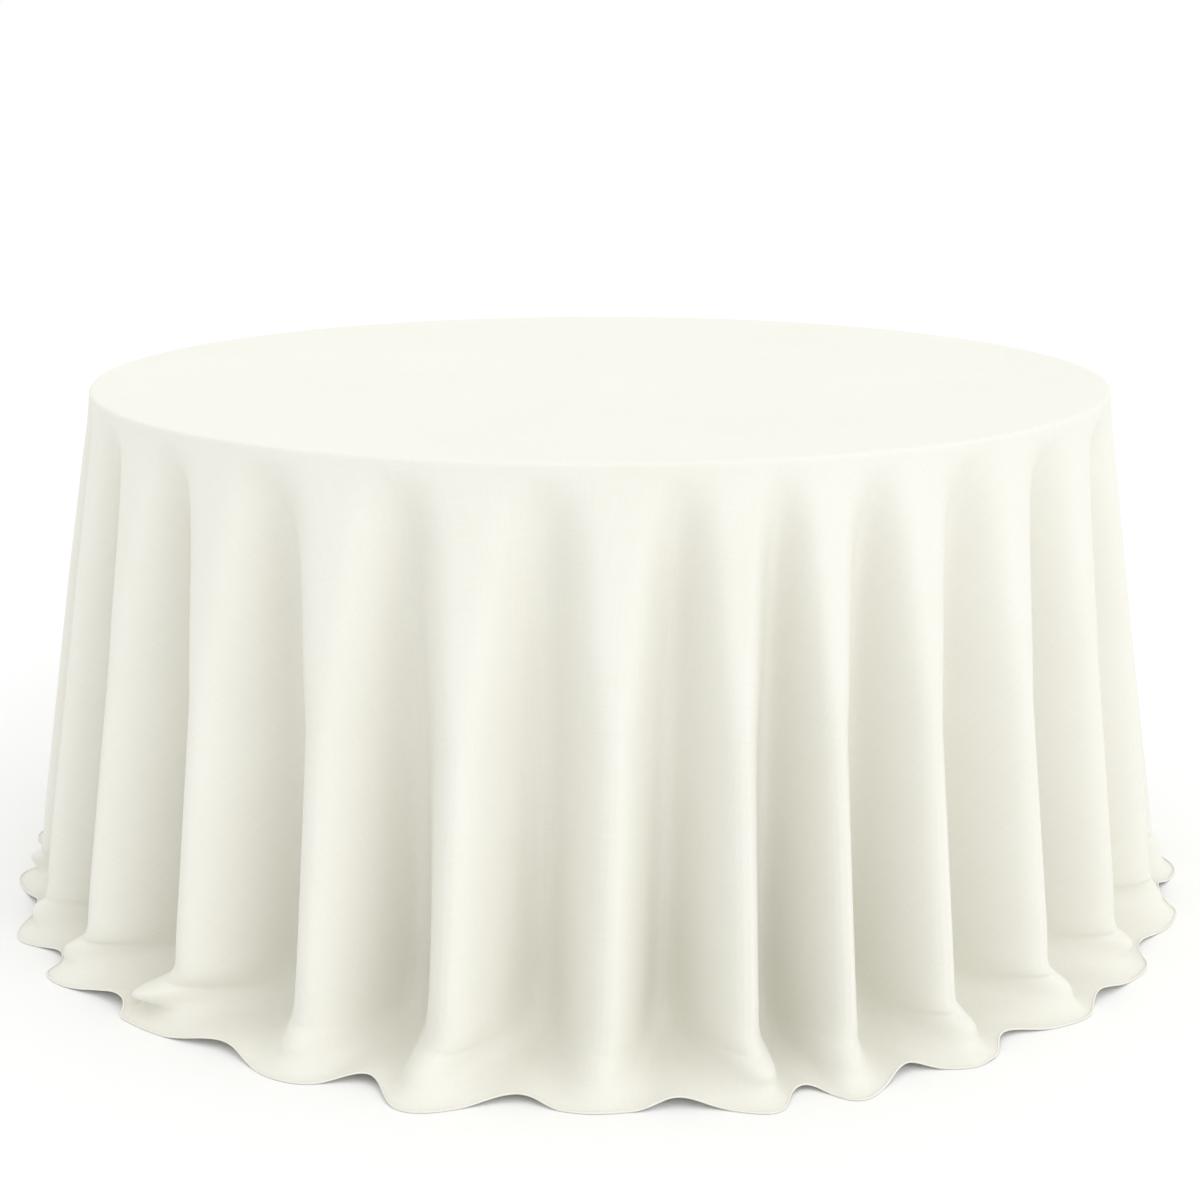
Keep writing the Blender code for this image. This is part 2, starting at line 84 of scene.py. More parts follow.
class Bench:
    """A material being laid out: one Principled shader, and the nodes that feed it."""

    def __init__(self, name: str) -> None:
        """Starts an empty material.

        Args:
            name: name of the material.
        """
        self.material = bpy.data.materials.new(name)
        self.material.use_nodes = True
        self.tree = self.material.node_tree
        self.tree.nodes.clear()
        self.shader = self.add("ShaderNodeBsdfPrincipled")
        self.output = self.add("ShaderNodeOutputMaterial")
        self.wire(self.shader.outputs["BSDF"], self.output.inputs["Surface"])

    def add(self, kind: str, **settings: object) -> bpy.types.Node:
        """Adds a node.

        Args:
            kind: Blender's name for the node type.
            settings: attributes of the node, and values of its inputs by their names in lower case.

        Returns:
            The new node.
        """
        node = self.tree.nodes.new(kind)
        for key, value in settings.items():
            if hasattr(node, key):
                setattr(node, key, value)
            else:
                node.inputs[key.replace("_", " ").title()].default_value = value
        return node

    def wire(self, source: Socket, target: Socket) -> None:
        """Joins an output to an input."""
        self.tree.links.new(source, target)

    def set(self, **values: object) -> None:
        """Sets constants on the shader's own sockets, by their names in lower case."""
        for key, value in values.items():
            wanted = key.replace("_", " ").lower()
            socket = next(s for s in self.shader.inputs if s.name.lower() == wanted)
            socket.default_value = value

    def stretched(self, source: Socket, scale: Sequence[float]) -> Socket:
        """Scales a coordinate by its own amount along each axis.

        Args:
            source: the coordinate.
            scale: one amount for each axis.

        Returns:
            The scaled coordinate.
        """
        mapping = self.add("ShaderNodeMapping")
        mapping.inputs["Scale"].default_value = scale
        self.wire(source, mapping.inputs["Vector"])
        return mapping.outputs["Vector"]

    def noise(
        self, source: Socket, scale: float, detail: float = 3.0, roughness: float = 0.5
    ) -> Socket:
        """A noise texture.

        Args:
            source: the coordinate it is read at.
            scale: how fine the noise is.
            detail: number of finer layers.
            roughness: strength of the finer layers.

        Returns:
            The factor, from 0 to 1.
        """
        node = self.add("ShaderNodeTexNoise", scale=scale, detail=detail, roughness=roughness)
        self.wire(source, node.inputs["Vector"])
        return node.outputs["Fac"]

    def wave(
        self, source: Socket, direction: str, pitch: float, distortion: float = 0.0
    ) -> Socket:
        """Even bands across one axis of a coordinate.

        Args:
            source: the coordinate it is read at, in metres.
            direction: X, Y or Z.
            pitch: distance from one band to the next.
            distortion: how far the bands wander.

        Returns:
            The factor, from 0 to 1.
        """
        turn = math.tau / 20
        node = self.add("ShaderNodeTexWave", bands_direction=direction, scale=turn / pitch)
        node.inputs["Distortion"].default_value = distortion
        node.inputs["Detail Scale"].default_value = 1.2
        self.wire(source, node.inputs["Vector"])
        return node.outputs["Fac"]

    def sums(
        self, first: Socket, second: Socket | float, operation: str = "ADD"
    ) -> Socket:
        """Combines two numbers with a Math node.

        Args:
            first: the first number.
            second: the second number, or a constant.
            operation: ADD, MULTIPLY or another of the node's operations.

        Returns:
            The result.
        """
        node = self.add("ShaderNodeMath", operation=operation)
        self.wire(first, node.inputs[0])
        if isinstance(second, Socket):
            self.wire(second, node.inputs[1])
        else:
            node.inputs[1].default_value = second
        return node.outputs[0]

    def weighed(self, *parts: tuple[Socket, float]) -> Socket:
        """Adds up some numbers, each times its weight."""
        times = [self.sums(source, weight, "MULTIPLY") for source, weight in parts]
        return functools.reduce(self.sums, times)

    def blend(self, factor: Socket, low: Colour, high: Colour) -> Socket:
        """A colour between two.

        Args:
            factor: 0 for the first and 1 for the second.
            low: the first colour.
            high: the second colour.

        Returns:
            The colour.
        """
        node = self.add("ShaderNodeMix", data_type="RGBA")
        self.wire(factor, node.inputs[MIX_FACTOR])
        node.inputs[MIX_FIRST].default_value = (*low, 1)
        node.inputs[MIX_SECOND].default_value = (*high, 1)
        return node.outputs[MIX_RESULT]

    def spread(self, factor: Socket, low: float, high: float) -> Socket:
        """Maps a factor onto a range.

        Args:
            factor: the factor, from 0 to 1.
            low: what 0 becomes.
            high: what 1 becomes.

        Returns:
            The number.
        """
        node = self.add("ShaderNodeMapRange")
        self.wire(factor, node.inputs["Value"])
        node.inputs["To Min"].default_value = low
        node.inputs["To Max"].default_value = high
        return node.outputs["Result"]

    def steepen(self, factor: Socket, low: float, high: float) -> Socket:
        """Stretches a part of a factor over the whole range from 0 to 1.

        Args:
            factor: the factor, from 0 to 1.
            low: where the part starts.
            high: where it ends.

        Returns:
            The steeper factor.
        """
        node = self.add("ShaderNodeMapRange")
        self.wire(factor, node.inputs["Value"])
        node.inputs["From Min"].default_value = low
        node.inputs["From Max"].default_value = high
        return node.outputs["Result"]

    def colour(self, source: Socket) -> None:
        """Feeds the base colour."""
        self.wire(source, self.shader.inputs["Base Color"])

    def rough(self, source: Socket) -> None:
        """Feeds the roughness."""
        self.wire(source, self.shader.inputs["Roughness"])

    def relief(self, height: Socket, depth: float, strength: float) -> None:
        """Feeds the normal from a height.

        Args:
            height: the height, from 0 to 1.
            depth: what a height of 1 stands for.
            strength: share of the full effect.
        """
        bump = self.add("ShaderNodeBump", strength=strength, distance=depth)
        self.wire(height, bump.inputs["Height"])
        self.wire(bump.outputs["Normal"], self.shader.inputs["Normal"])

    def here(self) -> Socket:
        """Object coordinates, in metres."""
        return self.add("ShaderNodeTexCoord").outputs["Object"]

    def laid(self, name: str) -> Socket:
        """The coordinates of a named map, in metres of cloth."""
        return self.add("ShaderNodeUVMap", uv_map=name).outputs["UV"]


@dataclass(frozen=True)
class WovenPolyester:
    """Smooth, dull ivory polyester, woven plain from fine threads."""

    name: str = "ivory_polyester"
    light: Colour = (0.812, 0.805, 0.742)
    shade: Colour = (0.780, 0.768, 0.692)
    thread_pitch: float = 0.0009
    slub_length: float = 0.070
    slub_width: float = 0.0016
    weave_map: str = "flat_cut"

    def make(self) -> bpy.types.Material:
        """Builds the material: weave, slubs along both threads, faint cloudiness and sheen.

        Returns:
            The material.
        """
        bench = Bench(self.name)
        cloth = bench.laid(self.weave_map)
        along, across = 1 / self.slub_length, 1 / self.slub_width
        warp_slubs = bench.noise(bench.stretched(cloth, (across, along, 1)), 1.0, 2.0)
        weft_slubs = bench.noise(bench.stretched(cloth, (along, across, 1)), 1.0, 2.0)
        slubs = bench.sums(bench.sums(warp_slubs, weft_slubs), 0.5, "MULTIPLY")
        clouds = bench.noise(cloth, 3.5, 3.0)
        tone = bench.weighed((slubs, 0.7), (clouds, 0.3))
        bench.colour(bench.blend(bench.steepen(tone, 0.36, 0.64), self.shade, self.light))
        bench.rough(bench.spread(slubs, 0.82, 0.66))
        warp = bench.wave(cloth, "X", self.thread_pitch)
        weft = bench.wave(cloth, "Y", self.thread_pitch)
        weave = bench.sums(bench.sums(warp, weft, "MULTIPLY"), bench.sums(slubs, 1.5, "MULTIPLY"))
        bench.relief(weave, 0.00012, 0.45)
        bench.set(sheen_weight=0.18, sheen_roughness=0.45, sheen_tint=(1.0, 0.99, 0.95, 1))
        bench.set(specular_ior_level=0.32)
        return bench.material


@dataclass(frozen=True)
class SewingThread:
    """Twisted polyester thread, a little brighter than the cloth."""

    name: str = "ivory_thread"
    light: Colour = (0.93, 0.92, 0.85)
    shade: Colour = (0.80, 0.78, 0.69)
    twist_pitch: float = 0.0005

    def make(self) -> bpy.types.Material:
        """Builds the material: slanting plies that catch the light.

        Returns:
            The material.
        """
        bench = Bench(self.name)
        twist = bench.wave(bench.here(), "DIAGONAL", self.twist_pitch)
        bench.colour(bench.blend(twist, self.shade, self.light))
        bench.rough(bench.spread(twist, 0.55, 0.42))
        bench.relief(twist, 0.00006, 0.5)
        bench.set(sheen_weight=0.2, sheen_roughness=0.4)
        return bench.material


@dataclass(frozen=True)
class Timber:
    """Sawn or peeled wood, with its grain along one axis."""

    name: str
    early: Colour
    late: Colour
    grain_axis: int = 0
    ring_pitch: float = 0.009
    pore_length: float = 0.030
    pore_width: float = 0.0007
    roughness: tuple[float, float] = (0.52, 0.68)

    def make(self) -> bpy.types.Material:
        """Builds the material: growth bands, pores, a few darker patches, and their relief.

        Returns:
            The material.
        """
        bench = Bench(self.name)
        here = bench.here()
        along = [1.0, 1.0, 1.0]
        along[self.grain_axis] = 0.07
        bands = bench.wave(bench.stretched(here, along), "Y", self.ring_pitch, 7.0)
        pore_scale = [1 / self.pore_width] * 3
        pore_scale[self.grain_axis] = 1 / self.pore_length
        pores = bench.noise(bench.stretched(here, pore_scale), 1.0, 2.0)
        patches = bench.noise(bench.stretched(here, along), 6.0, 3.0)
        tone = bench.weighed((bands, 0.45), (pores, 0.35), (patches, 0.25))
        bench.colour(bench.blend(bench.steepen(tone, 0.30, 0.78), self.late, self.early))
        bench.rough(bench.spread(pores, self.roughness[1], self.roughness[0]))
        bench.relief(bench.sums(pores, bench.sums(bands, 0.4, "MULTIPLY")), 0.0002, 0.35)
        bench.set(specular_ior_level=0.4)
        return bench.material


@dataclass(frozen=True)
class GrainedVinyl:
    """Brown extruded vinyl with a fine pebble grain."""

    name: str = "brown_vinyl"
    low: Colour = (0.050, 0.028, 0.016)
    high: Colour = (0.115, 0.068, 0.042)
    pebble: float = 0.0011

    def make(self) -> bpy.types.Material:
        """Builds the material: pebbles in relief, dulled in their hollows.

        Returns:
            The material.
        """
        bench = Bench(self.name)
        here = bench.here()
        pebbles = bench.noise(here, 1 / self.pebble, 2.0)
        scuffs = bench.noise(bench.stretched(here, (9, 9, 160)), 1.0, 4.0)
        bench.colour(bench.blend(bench.steepen(scuffs, 0.3, 0.75), self.low, self.high))
        bench.rough(bench.spread(pebbles, 0.36, 0.56))
        bench.relief(pebbles, 0.00015, 0.5)
        return bench.material


@dataclass(frozen=True)
class PowderCoat:
    """Grey baked powder on steel tube, with the fine waviness that it sets with."""

    name: str = "grey_powder_coat"
    coat: Colour = (0.235, 0.245, 0.255)
    worn: Colour = (0.36, 0.36, 0.355)
    ripple: float = 0.0016

    def make(self) -> bpy.types.Material:
        """Builds the material: orange peel, rubbed places and fine scratches along the tube.

        Returns:
            The material.
        """
        bench = Bench(self.name)
        here = bench.here()
        peel = bench.noise(here, 1 / self.ripple, 1.0)
        rubs = bench.steepen(bench.noise(here, 14.0, 5.0, 0.65), 0.58, 0.74)
        scratches = bench.steepen(bench.noise(bench.stretched(here, (900, 900, 20)), 1.0, 1.0), 0.66, 0.80)
        rubbed = bench.sums(rubs, 0.5, "MULTIPLY")
        wear = bench.sums(rubbed, bench.sums(scratches, 0.35, "MULTIPLY"), "MAXIMUM")
        bench.colour(bench.blend(wear, self.coat, self.worn))
        bench.rough(bench.spread(peel, 0.34, 0.48))
        bench.relief(peel, 0.0001, 0.35)
        bench.set(coat_weight=0.15, coat_roughness=0.25)
        return bench.material


@dataclass(frozen=True)
class ZincPlate:
    """Bright zinc on pressed steel: faintly blue, rolled one way, and dulled in patches."""

    name: str = "zinc_plate"
    bright: Colour = (0.66, 0.67, 0.68)
    dull: Colour = (0.46, 0.465, 0.46)

    def make(self) -> bpy.types.Material:
        """Builds the material: rolling lines, dull patches and a thin bloom in the roughness.

        Returns:
            The material.
        """
        bench = Bench(self.name)
        here = bench.here()
        rolled = bench.noise(bench.stretched(here, (40, 1500, 1500)), 1.0, 2.0)
        bloom = bench.noise(here, 45.0, 4.0, 0.6)
        bench.colour(bench.blend(bench.steepen(bloom, 0.35, 0.70), self.bright, self.dull))
        bench.rough(bench.spread(bench.sums(bench.sums(rolled, bloom), 0.5, "MULTIPLY"), 0.22, 0.48))
        bench.relief(rolled, 0.00004, 0.4)
        bench.set(metallic=1.0)
        return bench.material


@dataclass(frozen=True)
class MouldedPlastic:
    """Black polyethylene, as it leaves a spark-eroded mould."""

    name: str = "black_plastic"
    low: Colour = (0.012, 0.012, 0.013)
    high: Colour = (0.034, 0.034, 0.036)

    def make(self) -> bpy.types.Material:
        """Builds the material: eroded grain, and grey scuffs near the floor.

        Returns:
            The material.
        """
        bench = Bench(self.name)
        here = bench.here()
        grain = bench.noise(here, 1400.0, 2.0)
        scuffs = bench.steepen(bench.noise(here, 110.0, 4.0, 0.6), 0.45, 0.75)
        bench.colour(bench.blend(scuffs, self.low, self.high))
        bench.rough(bench.spread(grain, 0.44, 0.62))
        bench.relief(grain, 0.00008, 0.5)
        return bench.material


@dataclass(frozen=True)
class StudioFloor:
    """White painted studio floor."""

    name: str = "studio_white"
    paint: Colour = (0.90, 0.90, 0.90)

    def make(self) -> bpy.types.Material:
        """Builds the material.

        Returns:
            The material.
        """
        bench = Bench(self.name)
        bench.set(base_color=(*self.paint, 1), roughness=0.9, specular_ior_level=0.1)
        return bench.material


class Slot(Enum):
    """The record's material slots, each with the finish that goes with it."""

    CLOTH = WovenPolyester()
    PLYWOOD = Timber("plywood", (0.60, 0.42, 0.25), (0.40, 0.25, 0.13))
    PINE = Timber("pine", (0.66, 0.48, 0.28), (0.46, 0.29, 0.14), ring_pitch=0.006)
    TRIM = GrainedVinyl()
    FRAME = PowderCoat()
    FITTINGS = ZincPlate()
    CAPS = MouldedPlastic()

    def dress(self, piece: bpy.types.Object) -> None:
        """Puts the finish on a piece.

        Args:
            piece: the piece, which may have slots already.
        """
        made = bpy.data.materials.get(f"{self.value.name}_finish")
        if made is None:
            made = self.value.make()
            made.name = f"{self.value.name}_finish"
        piece.data.materials.clear()
        piece.data.materials.append(made)


# ---------------------------------------------------------------- meshes


def mesh_of(name: str, points: Points, faces: Iterable[Sequence[int]]) -> bpy.types.Object:
    """Makes a smooth-shaded mesh object.

    Args:
        name: name of the object and its mesh.
        points: one row of x, y and z for each vertex.
        faces: the corners of each face.

    Returns:
        The object, linked to the scene.
    """
    mesh = bpy.data.meshes.new(name)
    mesh.from_pydata(np.asarray(points).tolist(), [], [list(map(int, face)) for face in faces])
    mesh.shade_smooth()
    piece = bpy.data.objects.new(name, mesh)
    bpy.context.scene.collection.objects.link(piece)
    return piece


def grid_faces(rows: int, columns: int, start: int = 0) -> np.ndarray:
    """Quads of a grid whose columns close round.

    Args:
        rows: number of rows of vertices.
        columns: number of vertices in a row.
        start: number of the first vertex.

    Returns:
        Four vertex numbers for each face.
    """
    row, column = np.meshgrid(np.arange(rows - 1), np.arange(columns), indexing="ij")
    after = (column + 1) % columns
    here, below = row * columns, (row + 1) * columns
    return np.stack((here + column, below + column, below + after, here + after), -1).reshape(-1, 4) + start


# ---------------------------------------------------------------- the cloth


@dataclass(frozen=True)
class FoldPlan:
    """Where the crests of the folds stand, in degrees from the front towards +X."""

    top_deg: tuple[float, ...] = (-77.5, -68, -54.5, -40, -25, -11.5, 2.5, 12.8, 21.2, 31.3, 43.8, 58, 74)
    low_deg: tuple[float, ...] = (-77.5, -64.5, -53, -39.5, -25.5, -13, 0, 11.8, 20.5, 30.5, 42.5, 54.5, 68)
    back_folds: int = 15
    columns_per_fold: int = 16

    def crests(self, fall: float) -> np.ndarray:
        """Directions of all the crests.

        Args:
            fall: share of the way from the rim to the hem.

        Returns:
            Angles in radians, rising, over one turn.
        """
        front = [top + fall * (low - top) for top, low in zip(self.top_deg, self.low_deg)]
        gap = (360 + front[0] - front[-1]) / (self.back_folds + 1)
        behind = [front[-1] + gap * (i + 1) for i in range(self.back_folds)]
        return np.radians(front + behind)

    def columns(self, fall: float) -> tuple[np.ndarray, np.ndarray, np.ndarray]:
        """How the columns of the net lie in the folds.

        Args:
            fall: share of the way from the rim to the hem.

        Returns:
            The direction of each column's crest, its share of the way to the next one, and the angle
            between those two crests.
        """
        crests = self.crests(fall)
        width = np.diff(np.append(crests, crests[0] + math.tau))
        share = np.arange(self.columns_per_fold) / self.columns_per_fold
        count = len(crests)
        return np.repeat(crests, len(share)), np.tile(share, count), np.repeat(width, len(share))

    def directions(self) -> np.ndarray:
        """Direction of each column at the rim, which is also its direction in the flat cut."""
        crest, share, width = self.columns(0.0)
        return crest + share * width


@dataclass(frozen=True)
class SkirtLine:
    """How a crest and a valley run from the rim down to the floor and out to the hem.

    Each row has the height of the crest, how far it stands out from the rim, and the same for the valley.
    """

    rows: tuple[tuple[float, float, float, float], ...] = (
        (0.738, 0.002, 0.738, -0.002),
        (0.715, 0.005, 0.715, -0.010),
        (0.690, 0.010, 0.690, -0.022),
        (0.645, 0.018, 0.645, -0.035),
        (0.595, 0.026, 0.595, -0.043),
        (0.500, 0.043, 0.500, -0.049),
        (0.400, 0.060, 0.400, -0.053),
        (0.300, 0.076, 0.300, -0.056),
        (0.200, 0.092, 0.200, -0.058),
        (0.112, 0.106, 0.105, -0.060),
        (0.074, 0.113, 0.058, -0.054),
        (0.048, 0.120, 0.024, -0.030),
        (0.034, 0.131, 0.010, 0.015),
        (0.020, 0.146, 0.011, 0.075),
    )
    hem: tuple[float, float] = (0.164, 0.133)
    hem_lift: float = 0.012

    def smooth(self, top: float, rim: float, floor: float) -> Points:
        """The lines as a close run of points.

        Args:
            top: height at which the cloth leaves the rim.
            rim: radius at which it leaves it.
            floor: height of the cloth where it lies on the floor.

        Returns:
            Crest height and radius, and valley height and radius, of each point down to the hem.
        """
        hem = (floor, self.hem[0], floor + self.hem_lift, self.hem[1])
        points = np.array([(top, 0, top, 0), *self.rows, hem]) + (0, rim, 0, rim)
        for _ in range(4):
            points = halved(points, closed=False)
        return points


@dataclass(frozen=True)
class FoldHabits:
    """What sets each fold apart from its neighbours, with one value for each fold."""

    reach: np.ndarray
    depth: np.ndarray
    lift: np.ndarray
    crease: np.ndarray
    drift: np.ndarray


@dataclass
class Drape:
    """A round cloth hung over a round table, as a net of threads that fall, bend and come to rest."""

    plan: FoldPlan
    cut_radius: float
    rim: float
    top: float
    board: float
    floor: float
    line: SkirtLine = field(default_factory=SkirtLine)

    # The rows of the net.
    rounding: float = 0.0045
    inside_rim: tuple[float, float] = (0.030, 0.012)
    first_pace: float = 0.006
    pace_growth: float = 1.35
    last_gap: float = 0.005
    skirt_pace: float = 0.0195
    close_rows: float = 0.170
    close_pace: float = 0.0080
    slack_below: float = 0.090

    # How the folds differ from each other.
    seed: int = 7
    unevenness: float = 0.10
    lift_unevenness: float = 6.0
    lift_range: tuple[float, float] = (0.2, 1.6)
    side_deeper: float = 0.30
    forward: float = 0.022

    # The narrow valleys under the rim.
    dart: float = 1.5
    dart_below: float = 0.42

    # The toes and creases where the folds meet the floor.
    near_floor: float = 0.06
    arch_narrowness: float = 2.5
    ridge_narrowness: float = 1.9
    crease_narrowness: float = 2.5
    break_height: float = 0.027
    break_depth: float = 0.016
    least_break: float = 0.2
    laid_fold: int = 3
    laid_depth: float = 0.028
    laid_drift: float = 0.055
    toe_drift: float = 0.016
    veer: float = 0.026
    drift_height: float = 0.075
    drift_share: float = 0.6

    # The small ripples between them.
    ripples: int = 5
    ripple_counts: tuple[int, int] = (45, 110)
    ripple_slant: float = 8.0
    ripple_height: float = 0.075
    ripple_depth: float = 0.0045
    ripple_outwards: float = 0.4

    # How the cloth comes to rest.
    step: float = 1 / 300
    steps: int = 300
    gravity: float = 9.81
    bend: float = 0.03
    squash: float = 0.10
    shear: float = 0.15
    friction: float = 0.6
    guide: float = 0.10
    guide_on_floor: float = 0.4
    guide_rise: tuple[float, float] = (0.06, 0.12)
    memory_rise: tuple[float, float] = (0.02, 0.10)
    calm: tuple[float, float] = (0.985, 0.96)
    calm_from: float = 0.7
    clear_of_legs: float = 0.672

    def __post_init__(self) -> None:
        """Lays out the rows of the net, from just inside the rim to the hem."""
        edge, quarter = self.rim - self.rounding, self.rounding * math.pi / 2
        along = [edge - inside for inside in self.inside_rim]
        along += [edge, edge + quarter / 2, edge + quarter]
        self.held = len(along)
        pace, at = self.first_pace, along[-1]
        while at + pace < self.cut_radius - self.last_gap:
            at += pace
            along.append(at)
            widest = self.skirt_pace if at < self.cut_radius - self.close_rows else self.close_pace
            pace = min(pace * self.pace_growth, widest)
        self.along = np.array(along + [self.cut_radius])
        self.free = np.ones((len(self.along), 1, 1))
        self.free[: self.held] = 0

    def evened(self, steepness: np.ndarray, share: np.ndarray) -> np.ndarray:
        """Spreads the columns of a fold evenly over its length.

        Args:
            steepness: how steep the flank of each column's fold is.
            share: share of the fold's length from the crest to each column.

        Returns:
            The phase of each column in the fold's wave, from 0 to 1.
        """
        grades = np.linspace(0, 6, 121)
        phase = np.linspace(0, 1, 257)
        pace = np.sqrt(1 + (grades[:, None] * np.sin(math.tau * phase)) ** 2)
        run = np.cumsum((pace[:, 1:] + pace[:, :-1]) / 2 * np.diff(phase), axis=1)
        run = np.concatenate([np.zeros((len(grades), 1)), run], axis=1)
        steps = np.arange(self.plan.columns_per_fold) / self.plan.columns_per_fold
        placed = np.array([np.interp(steps, row / row[-1], phase) for row in run])
        grade = np.clip(steepness / grades[1], 0, len(grades) - 1.001)
        low = grade.astype(int)
        column = np.round(share * self.plan.columns_per_fold).astype(int)
        return placed[low, column] + (grade - low) * (placed[low + 1, column] - placed[low, column])

    def habits(self) -> FoldHabits:
        """Draws what sets the folds apart.

        Returns:
            Reach, depth and lift as shares of the usual, and crease and drift in metres.
        """
        draw = np.random.default_rng(self.seed)
        crests = self.plan.crests(1)
        folds = len(crests)
        reach, depth, lift = 1 + self.unevenness * draw.uniform(-1, 1, (3, folds))
        lift = np.clip(1 + self.lift_unevenness * (lift - 1), *self.lift_range)
        crease = self.break_depth * draw.uniform(self.least_break, 1, folds)
        crease[self.laid_fold] = self.laid_depth
        drift = self.toe_drift * draw.uniform(-1, 1, folds) + self.veer * np.sin(crests)
        drift[self.laid_fold] = -self.laid_drift
        return FoldHabits(reach, depth, lift, crease, drift)

    def start(self) -> Points:
        """Hangs the cloth: folds that deepen on the way down, and a flange on the floor.

        Returns:
            The net, in rows from the rim to the hem.
        """
        angle = self.plan.directions()
        edge = self.rim - self.rounding
        net = np.zeros((len(self.along), len(angle), 3))
        for i, at in enumerate(self.along[: self.held]):
            bend = max(at - edge, 0) / self.rounding
            radius = min(at, edge) + self.rounding * math.sin(bend)
            height = np.full(len(angle), self.top - self.rounding * (1 - math.cos(bend)))
            net[i] = np.stack([radius * np.sin(angle), -radius * np.cos(angle), height], -1)
        lines = self.line.smooth(self.top - self.rounding, self.rim, self.floor)
        habits = self.habits()
        falls = np.arange(len(lines)) / (len(lines) - 1)
        paths = np.stack([self.hung_row(line, fall, habits) for line, fall in zip(lines, falls)])
        net[self.held :] = self.paced(paths)
        return net

    def hung_row(self, line: np.ndarray, fall: float, habits: FoldHabits) -> Points:
        """One row of the folds as they are hung.

        Args:
            line: crest height and radius, and valley height and radius.
            fall: share of the way from the rim to the hem.
            habits: what sets the folds apart.

        Returns:
            One point for each column.
        """
        crest_height, out, valley_height, back = line
        crest, share, width = self.plan.columns(fall)
        folds = len(habits.reach)
        fold = np.arange(len(crest)) // self.plan.columns_per_fold
        closest = np.where(share < 0.5, fold, (fold + 1) % folds)
        near = (1 + np.cos(math.tau * share)) / 2
        curl = math.sin(math.pi * np.clip((crest_height - self.break_height) / self.break_height, -1, 1))
        high = self.rim + (out - self.rim) * (1 + (habits.reach[closest] - 1) * near)
        high = high + habits.crease[closest] * near**self.crease_narrowness * curl
        roomy = np.sqrt(width / (math.tau / folds)) * (1 + self.side_deeper * np.abs(np.sin(crest)))
        deeper = habits.depth[fold] * (roomy if back < self.rim else 1)
        low = self.rim + (back - self.rim) * (1 + (deeper - 1) * (1 - near))
        mean, swing = (high + low) / 2, (high - low) / 2
        turn = self.evened(math.tau * swing / (width * mean), share)
        under_rim = min(max((crest_height - self.dart_below) / (self.top - self.dart_below), 0), 1)
        fallen = ((1 - np.cos(math.tau * turn)) / 2) ** (1 + self.dart * under_rim)
        radius = mean + swing * (1 - 2 * fallen)
        slid = min(max((self.drift_height - crest_height) / (self.drift_height * self.drift_share), 0), 1)
        slid = slid * slid * (3 - 2 * slid)
        away = crest + turn * width + slid * habits.drift[closest] * near / radius
        ripple = self.ripple(away, crest_height)
        on_floor = max(0.0, 1 - crest_height / self.near_floor)
        radius = radius + self.ripple_outwards * ripple - self.forward * (1 - np.cos(away)) * on_floor
        valley = self.valley_height(valley_height, habits.lift[fold])
        height = crest_height + (valley - crest_height) * fallen**self.arch_narrowness
        ridged = crest_height * (1 - fallen) ** self.ridge_narrowness
        ridged = ridged + valley * fallen**self.arch_narrowness
        spread = max(0.0, 1 - crest_height / self.drift_height)
        height = height + spread * (ridged - height) + np.abs(ripple)
        return np.stack([radius * np.sin(away), -radius * np.cos(away), height], -1)

    def valley_height(self, height: float, lift: np.ndarray) -> np.ndarray:
        """Height of each column's valley, which near the floor arches more in some folds than in others.

        Args:
            height: height of the usual valley.
            lift: how much of that arch each column's fold has.

        Returns:
            One height for each column.
        """
        if height >= self.near_floor:
            return np.full(len(lift), height)
        raised = self.floor + (height - self.floor) * lift
        share = height / self.near_floor
        return share * height + (1 - share) * raised

    def ripple(self, away: np.ndarray, height: float) -> np.ndarray:
        """Small ripples where the folds meet the floor.

        Args:
            away: direction of each column.
            height: height of the row's crests.

        Returns:
            Height of the ripples at each column.
        """
        draw = np.random.default_rng(self.seed + 1)
        total = np.zeros_like(away)
        for _ in range(self.ripples):
            count = draw.integers(*self.ripple_counts)
            slant = draw.uniform(-self.ripple_slant, self.ripple_slant)
            total += np.sin(count * away + draw.uniform(0, math.tau) + slant * height / self.ripple_height)
        fade = max(0.0, 1 - height / self.ripple_height)
        return self.ripple_depth * fade * total / math.sqrt(self.ripples)

    def paced(self, paths: Points) -> Points:
        """Sets the rows of the skirt out along the columns at their true spacing.

        What the cloth has more than its path is taken up close to the floor.

        Args:
            paths: the way of each column, from the rim to the hem.

        Returns:
            The rows below the rim.
        """
        length = np.cumsum(np.linalg.norm(np.diff(paths, axis=0), axis=-1), axis=0)
        length = np.concatenate([np.zeros((1, length.shape[1])), length])
        wanted = self.along[self.held :] - self.along[self.held - 1]
        rows = np.zeros((len(wanted), paths.shape[1], 3))
        for column in range(paths.shape[1]):
            run = length[:, column]
            low = np.clip(1 - paths[:, column, 2] / self.slack_below, 0, 1)
            taken = np.maximum.accumulate(low * 0.5 + 0.5 * low * run / run[-1])
            run = run + (wanted[-1] - run[-1]) * taken / taken[-1]
            for k in range(3):
                rows[:, column, k] = np.interp(wanted, run, paths[:, column, k])
        return rows

    def threads(self, net: Points) -> dict[str, np.ndarray]:
        """Lengths of the net's threads.

        Args:
            net: the cloth as it is hung.

        Returns:
            Their lengths: as cut on the way down, and as hung across the folds and slantwise.
        """
        pace = np.repeat(np.diff(self.along)[:, None], net.shape[1], axis=1)
        aside = np.linalg.norm(np.roll(net, -1, 1) - net, axis=-1)
        right = np.linalg.norm(np.roll(net[1:], -1, 1) - net[:-1], axis=-1)
        left = np.linalg.norm(np.roll(net[1:], 1, 1) - net[:-1], axis=-1)
        return {"down": pace, "across": aside, "right": right, "left": left}

